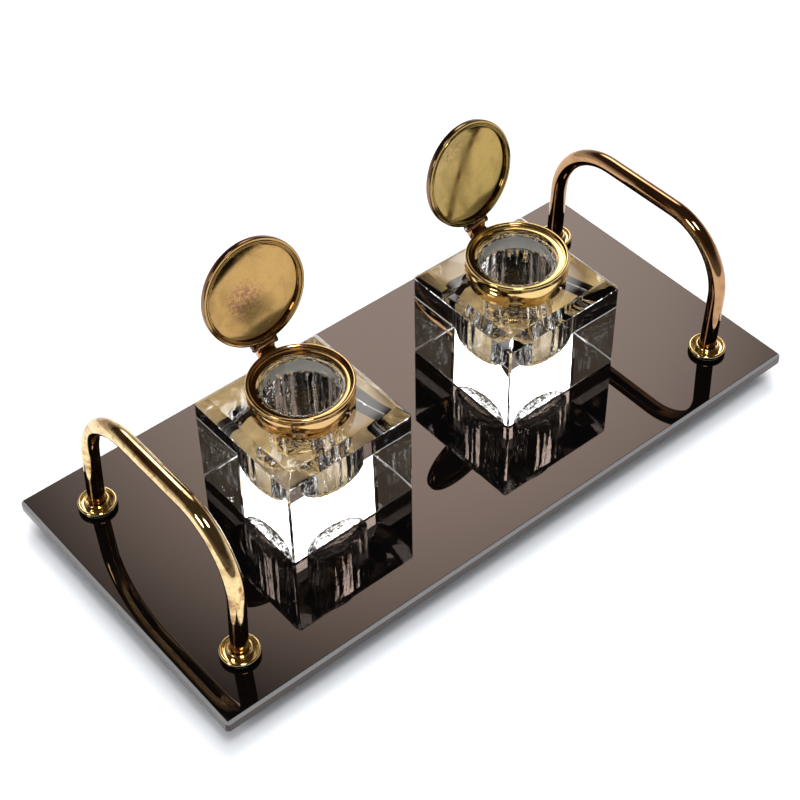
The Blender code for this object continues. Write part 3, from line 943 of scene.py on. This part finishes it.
# %% Turn the collars
collar_low, collar_high, _ = span("collar_left")
FOOT_Z = collar_low.z - block_low.z
RIM_Z = collar_high.z - block_low.z
COLLAR = 22.0 * MM
COLLAR_BORE = 19.8 * MM


def swell(part):
    """A point of the band, from 0 at its foot to 1 at its top, fullest in the middle."""
    hollow = 0.35 * MM * (part * 2 - 1) ** 2
    return COLLAR - 0.08 * MM - hollow, FOOT_Z + 2.6 * MM + (RIM_Z - FOOT_Z - 5.2 * MM) * part


collar_section = [
    (COLLAR_BORE, FOOT_Z),
    (COLLAR - 1.1 * MM, FOOT_Z),
    (COLLAR - 1.1 * MM, FOOT_Z + 1.5 * MM),
    (COLLAR - 0.5 * MM, FOOT_Z + 1.75 * MM),
    (COLLAR - 0.45 * MM, FOOT_Z + 2.2 * MM),
    *[swell(step / 8) for step in range(9)],
    *arc((COLLAR - 0.75 * MM, RIM_Z - 0.75 * MM), 0.75 * MM, -10, 110, 7),
    (COLLAR - 1.45 * MM, RIM_Z - 0.35 * MM),
    (COLLAR - 1.55 * MM, RIM_Z - 1.1 * MM),
    (COLLAR - 2.3 * MM, RIM_Z - 1.25 * MM),
    (COLLAR - 2.45 * MM, NECK_TOP + 1.2 * MM),
    (COLLAR - 3.3 * MM, NECK_TOP + 1.15 * MM),
    (17.75 * MM, NECK_TOP + 0.95 * MM),
    (17.65 * MM, NECK_TOP + 0.3 * MM),
    (COLLAR_BORE, NECK_TOP + 0.3 * MM),
]
collar = turned("collar", collar_section, steps=128)
cement_low, cement_high, _ = span("collar_cement_left")
cement_section = ring_section(18.8 * MM, 19.5 * MM, cement_high.z - cement_low.z)
cement = turned("cement", cement_section, steps=96, corners=0.1 * MM, at=(0, 0, cement_low.z - block_low.z))
for side in SIDES:
    band = twin(collar, f"neck_collar_{side}", mounts[side])
    dress(band, COLLAR_BRASS[side], f"inkwell_{side}", "brass_collar", f"collar_{side}")
    ring = twin(cement, f"cement_ring_{side}", mounts[side])
    dress(ring, CEMENT, f"inkwell_{side}", "cement", f"collar_cement_{side}")
discard(collar, cement)

# %% [markdown]
# ## The lids
#
# A lid is a shallow spun dome with a rolled edge. Seen open, its inside shows most: a flat rim with a thin
# groove and a bead, a step down, and a gently dished middle. The dome and its inner bezel ring are two
# pieces on the real thing, and two turned pieces here. At the hinge a flat is cut on the dome's edge so that
# it clears the collar's knuckle. Nobody polishes the inside of a lid, so its brass has a finish of its own:
# it is mottled and scratched, with one bloom of tarnish and a dark rim. A long patch on each lid's inside is
# made rougher and painted dark, as a painted reflection of the collar and the plate.

# %% Lid brass, with a painted reflection
def lid_brass(side, centre, clean, stained, blush, blush_at, painted_reflection_shape, painted_reflection_at, painted_reflection):
    """Old brass: tarnish, one reddish bloom, a dark rim, pits, hairlines from wiping, and a painted dark
    reflection.
    """
    metal = Finish(f"lid brass {side}", Metallic=1.0)
    place = metal.about(centre)
    clouds = metal.noise(14 * MM, detail=5, roughness=0.6, distortion=0.6, place=place).step(0.40, 0.70)
    blots = metal.noise(1.3 * MM, detail=6, roughness=0.72, place=place)
    edge = metal.noise(5 * MM, detail=5, roughness=0.7, place=place) * (7 * MM)
    bloom = 1 - (metal.away(place, blush_at) + edge).step(8 * MM, 16 * MM)
    mottle = bloom * blots.step(0.42, 0.56)
    # Painted reflection: a long patch, made rougher and painted dark where the collar and the plate are
    # mirrored.
    slant = metal.move(place, Rotation=(0, radians(14), 0), Scale=painted_reflection_shape)
    dull = (1 - (metal.away(slant, painted_reflection_at) + edge * 0.5).step(4 * MM, 12 * MM)) * painted_reflection
    rim = metal.away(place, (0, 0, 0)).step(LID - 0.65 * MM, LID - 0.2 * MM)
    wiping = metal.move(place, Rotation=(0.4, radians(38), 0.2))
    lines = metal.noise(0.22 * MM, detail=2, roughness=0.5, stretch=(60, 1, 1), place=wiping).step(0.66, 0.74)
    sparse = metal.noise(6 * MM, detail=2, place=place).step(0.45, 0.62)
    pits = metal.cells(2.1 * MM, place=place).step(0.11, 0.05)
    colour = metal.mix((clouds * 0.45 + (blots.step(0.5, 0.75)) * 0.3).clamp(), clean, stained)
    colour = metal.mix(mottle * 0.8, colour, blush)
    # Painted reflection: the long patch is darkened here.
    colour = metal.mix(dull, colour, (0.13, 0.085, 0.028))
    colour = metal.mix(rim * 0.7, colour, (0.17, 0.085, 0.07))
    colour = metal.mix(pits * 0.8, colour, (0.05, 0.03, 0.015))
    rough = 0.08 + clouds * 0.08 + dull * 0.15 + mottle * 0.12 + lines * sparse * 0.12 + pits * 0.3
    height = blots * 0.35 - pits * 1.0 + lines * sparse * 0.7
    return metal.wear(Base_Color=colour, Roughness=rough, Normal=metal.bump(height, 0.02 * MM, 0.6))


LID = 23.4 * MM
HINGE_GAP = 1.4 * MM
HINGE_OUT = LID + HINGE_GAP
RIM_PLANE = -1.6 * MM
lid_centres = {side: swings[side] @ Vector((0, -HINGE_OUT, RIM_PLANE)) for side in SIDES}
# For each lid: the colours of its wear, and the place and shape of its painted dark reflection.
LID_WEAR_AND_PAINTED_REFLECTION = {
    "left": {
        "clean": (0.44, 0.27, 0.095),
        "stained": (0.23, 0.135, 0.045),
        "blush": (0.24, 0.09, 0.07),
        "blush_at": (-3 * MM, 0, -4 * MM),
        "painted_reflection_shape": (0.8, 1, 1.3),
        "painted_reflection_at": (-3 * MM, 0, -12 * MM),
        "painted_reflection": 0.75,
    },
    "right": {
        "clean": (0.36, 0.25, 0.08),
        "stained": (0.17, 0.11, 0.035),
        "blush": (0.20, 0.12, 0.05),
        "blush_at": (-6 * MM, 0, 12 * MM),
        "painted_reflection_shape": (1.7, 1, 0.62),
        "painted_reflection_at": (3 * MM, 0, 2 * MM),
        "painted_reflection": 0.85,
    },
}
LID_BRASS = {side: lid_brass(side, lid_centres[side], **LID_WEAR_AND_PAINTED_REFLECTION[side]) for side in SIDES}
print("made lid brass")

# %% Turn and cut the lids
EDGE, DOME, THICK = 2.6 * MM, 3.4 * MM, 1.1 * MM


def dome(radius):
    """Height of the lid's outer face above its rim plane."""
    return EDGE + DOME * (1 - (radius / LID) ** 2)


def make_lid():
    shoulder, inner = LID - 1.0 * MM, LID - THICK
    section = [(shoulder * step / 14, dome(shoulder * step / 14)) for step in range(15)]
    section += arc((LID - 0.65 * MM, EDGE - 0.45 * MM), 0.65 * MM, 60, 0, 4)
    section += [(LID, 0.45 * MM)]
    section += arc((LID - 0.45 * MM, 0.42 * MM), 0.42 * MM, -10, -80, 3)
    section += [(inner, 0.0)]
    section += [(inner, 1.6 * MM), (inner - 0.3 * MM, dome(inner) - THICK - 0.15 * MM)]
    section += [(inner * step / 14, dome(inner * step / 14) - THICK) for step in range(13, -1, -1)]
    lid = turned("lid", section, steps=128, loop=False)
    settle(lid, Matrix.Translation((0, -HINGE_OUT, RIM_PLANE)))
    edit(lid)
    pick_all()
    flat = -1.9 * MM
    bpy.ops.mesh.bisect(plane_co=(0, flat, 0), plane_no=(0, 1, 0), clear_outer=True, use_fill=True)
    leave(lid)
    return smooth(lid, 30)


def make_bezel():
    outer = LID - THICK - 0.3 * MM
    inner = outer - 1.4 * MM
    section = [
        (inner + 0.15 * MM, 0.18 * MM),
        *arc((inner + 0.42 * MM, 0.24 * MM), 0.24 * MM, 180, 360, 5),
        (inner + 0.72 * MM, 0.42 * MM),
        *arc((outer - 0.36 * MM, 0.30 * MM), 0.30 * MM, 190, 340, 5),
        (outer, 1.5 * MM),
        (inner, 1.5 * MM),
        (inner, 0.5 * MM),
    ]
    bezel = turned("bezel", section, steps=128)
    return settle(bezel, Matrix.Translation((0, -HINGE_OUT, RIM_PLANE)))


lid, bezel = make_lid(), make_bezel()
for side in SIDES:
    cover = twin(lid, f"lid_dome_{side}", swings[side])
    dress(cover, LID_BRASS[side], f"lid_{side}", "brass_lid", f"lid_{side}")
    ring = twin(bezel, f"lid_ring_{side}", swings[side])
    dress(ring, LID_BRASS[side], f"lid_{side}", "brass_lid", f"lid_bezel_{side}")
discard(lid, bezel)

# %% [markdown]
# ## The hinges
#
# The hinge is a sandwich: one broad knuckle stands on the collar, two narrow ears on the lid's leaf close
# round it, and a pin with ball ends runs through all three. Each half is a flat outline pulled out to its
# width. The outline is drawn as a line of vertices and filled, the bore is cut with a cylinder, and the edges
# are broken with a small bevel.

# %% Model the hinge halves
KNUCKLE = 1.6 * MM
PIN = 0.8 * MM
TONGUE = 8.0 * MM
EAR = 1.6 * MM
PLAY = 0.3 * MM
HALF_WIDTH = TONGUE / 2 + PLAY + EAR


def slab(name, outline, width):
    """A closed outline of (y, z) points, filled and pulled out along X, centred on X = 0."""
    piece = draw_section([(y, z) for y, z in outline])
    pick_all()
    bpy.ops.mesh.edge_face_add()
    bpy.ops.transform.rotate(value=-pi / 2, orient_axis="Z", center_override=(0, 0, 0))
    pull((width, 0, 0))
    pick_all()
    bpy.ops.transform.translate(value=(-width / 2, 0, 0))
    bpy.ops.mesh.normals_make_consistent(inside=False)
    return leave(piece, name)


def bore(piece):
    """The hole the pin runs in."""
    return drill(piece, PIN + PLAY, 40 * MM, (0, 0, 0), turn=pi / 2)


def make_knuckle():
    rim = -1.9 * MM
    top = rim - 0.6 * MM
    inward = -3.1 * MM
    outline = [
        *arc((0, 0), KNUCKLE, -30, 180, 14),
        (-KNUCKLE, top),
        (inward, top),
        (inward, top - 4.8 * MM),
        (KNUCKLE * cos(pi / 6), top - KNUCKLE),
    ]
    lug = slab("knuckle", outline, TONGUE)
    drill(lug, COLLAR + PLAY, 30 * MM, (0, -HINGE_OUT, 0), steps=192)
    bore(lug)
    return smooth(round_edges(lug, 0.18 * MM), 30)


def make_leaf():
    root = HINGE_GAP + 1.0 * MM
    tip = root + 4.6 * MM
    under = [(-y, RIM_PLANE + dome(HINGE_OUT - y) + 0.5 * MM) for y in (tip, root)]
    over = [(y, z + 1.0 * MM) for y, z in reversed(under)]
    outline = [*arc((0, 0), KNUCKLE, 140, 460, 20), *over, *under]
    leaf = slab("leaf", outline, 2 * HALF_WIDTH)
    gap = cube((TONGUE + 2 * PLAY, 40 * MM, 40 * MM), (0, 20 * MM - KNUCKLE - 2 * PLAY, 0))
    cut(leaf, gap)
    bore(leaf)
    return smooth(round_edges(leaf, 0.18 * MM), 30)


def make_pin():
    half = HALF_WIDTH + 0.4 * MM
    section = [
        (0, -half),
        (0.45 * MM, -half + 0.08 * MM),
        (PIN - 0.05 * MM, -half + 0.35 * MM),
        (PIN, -half + 0.8 * MM),
    ]
    section += [(r, -z) for r, z in reversed(section)]
    pin = turned("pin", section, steps=32, loop=False)
    return settle(pin, Matrix.Rotation(pi / 2, 4, "Y"))


HINGE_BRASS = brass("brass of the hinges", (0.44, 0.25, 0.12), (0.22, 0.10, 0.05), 0.7, 0.12, 0.6)
knuckle, leaf, pin = make_knuckle(), make_leaf(), make_pin()
for side in SIDES:
    upright = swings[side] @ Matrix.Rotation(OPEN_ANGLE, 4, "X")
    lug = twin(knuckle, f"hinge_knuckle_{side}", upright)
    dress(lug, HINGE_BRASS, f"inkwell_{side}", "brass_collar", f"hinge_lug_{side}")
    flap = twin(leaf, f"hinge_leaf_{side}", swings[side])
    dress(flap, LID_BRASS[side], f"lid_{side}", "brass_lid", f"lid_leaf_{side}")
    axle = twin(pin, f"hinge_axle_{side}", upright)
    dress(axle, PIN_STEEL, f"inkwell_{side}", "steel", f"hinge_pin_{side}")
discard(knuckle, leaf, pin)

# %% [markdown]
# ## Floor, light and camera
#
# Brass and glass show what is round them, so the surroundings matter as much as the finishes. The floor is
# plain and pale. The room is dim and a little warm overhead, which gives the rods their dark stripes. Pale
# paper stands low down behind the stand, and one soft glow above it lies on the black plate as a sheen. The
# key light comes from behind and throws the soft shadows forward, and a wide light above fills them. These
# two and the low fills aren't reflected, so only the two small softboxes show as highlights.

# %% Floor
FLOOR_SIZE = 14.0
paint = {"Base Color": (0.74, 0.76, 0.79), "Roughness": 0.9, "Specular IOR Level": 0.0}
clear_selection()
bpy.ops.mesh.primitive_plane_add(size=FLOOR_SIZE, location=(0, 0, 0))
floor = bpy.context.active_object
floor.name = "floor"
floor.data.materials.append(Finish("pale floor", **paint).material)

# %% Sky
GLOW_TURN, GLOW_RISE = radians(51), radians(41)
GLOW_EDGE, GLOW_CORE = radians(16), radians(3)
GLOW, PALE_PAPER = (4.7, 4.5, 4.3), (0.85, 0.85, 0.87)
FRONT_WALL, CEILING = (0.21, 0.20, 0.19), (0.050, 0.038, 0.028)


def make_sky():
    """A dim room with pale paper low down behind the stand, and one large soft glow over it."""
    world = bpy.data.worlds.new("studio")
    sky = Nodes(world, looks="Generated")
    flat = Vector((cos(GLOW_TURN), sin(GLOW_TURN), 0))
    towards = flat * cos(GLOW_RISE) + Vector((0, 0, sin(GLOW_RISE)))
    glow = sky.facing(towards).step(cos(GLOW_EDGE), cos(GLOW_CORE))
    low_down = sky.mix(sky.facing(flat).step(-0.5, 0.1), FRONT_WALL, PALE_PAPER)
    room = sky.mix(sky.along("Z").step(0.05, 0.55), low_down, CEILING)
    sky.set(sky.tree.nodes["Background"], {"Color": sky.mix(glow, room, GLOW)})
    bpy.context.scene.world = world


make_sky()
print("sky made")

# %% Lights
def soft_light(name, turn, rise, away, size, power, colour=(1, 1, 1), shiny=True, through=True):
    """A square soft light, aimed at the stand from a direction in degrees.

    It can be kept out of reflections, and out of what is seen through glass.
    """
    light = bpy.data.lights.new(name, "AREA")
    light.shape = "SQUARE"
    light.size = size
    light.energy = power
    light.color = colour
    item = bpy.data.objects.new(name, light)
    bpy.context.scene.collection.objects.link(item)
    a, e = radians(turn), radians(rise)
    back = Vector((cos(e) * cos(a), cos(e) * sin(a), sin(e)))
    item.location = back * away
    item.rotation_euler = back.to_track_quat("Z", "Y").to_euler()
    item.visible_glossy = shiny
    item.visible_transmission = through
    return item


soft_light("key from behind", 50, 55, 2.6, 1.8, 62, (1.0, 0.99, 0.97), shiny=False)
soft_light("fill from above", -100, 84, 2.6, 2.4, 48, shiny=False)
for turn in (-165, -75):
    soft_light(f"low fill {turn}", turn, 20, 2.2, 1.2, 13, (0.93, 0.97, 1.0), shiny=False, through=False)
soft_light("small softbox overhead", -115, 74, 1.6, 0.30, 6)
soft_light("softbox from the left", 178, 38, 1.6, 0.35, 4)

# %% Camera
def make_camera():
    data = bpy.data.cameras.new("camera")
    data.sensor_width = 36.0
    data.lens = 82.19
    data.clip_start, data.clip_end = 0.01, 50
    camera = bpy.data.objects.new("camera", data)
    bpy.context.scene.collection.objects.link(camera)
    camera.location = (-0.34676, -0.41725, PLATE_TOP + 0.56670)
    camera.rotation_euler = (radians(44.5171), radians(0.7192), radians(-39.8456))
    bpy.context.scene.camera = camera


make_camera()
bpy.context.scene.view_settings.view_transform = "Standard"
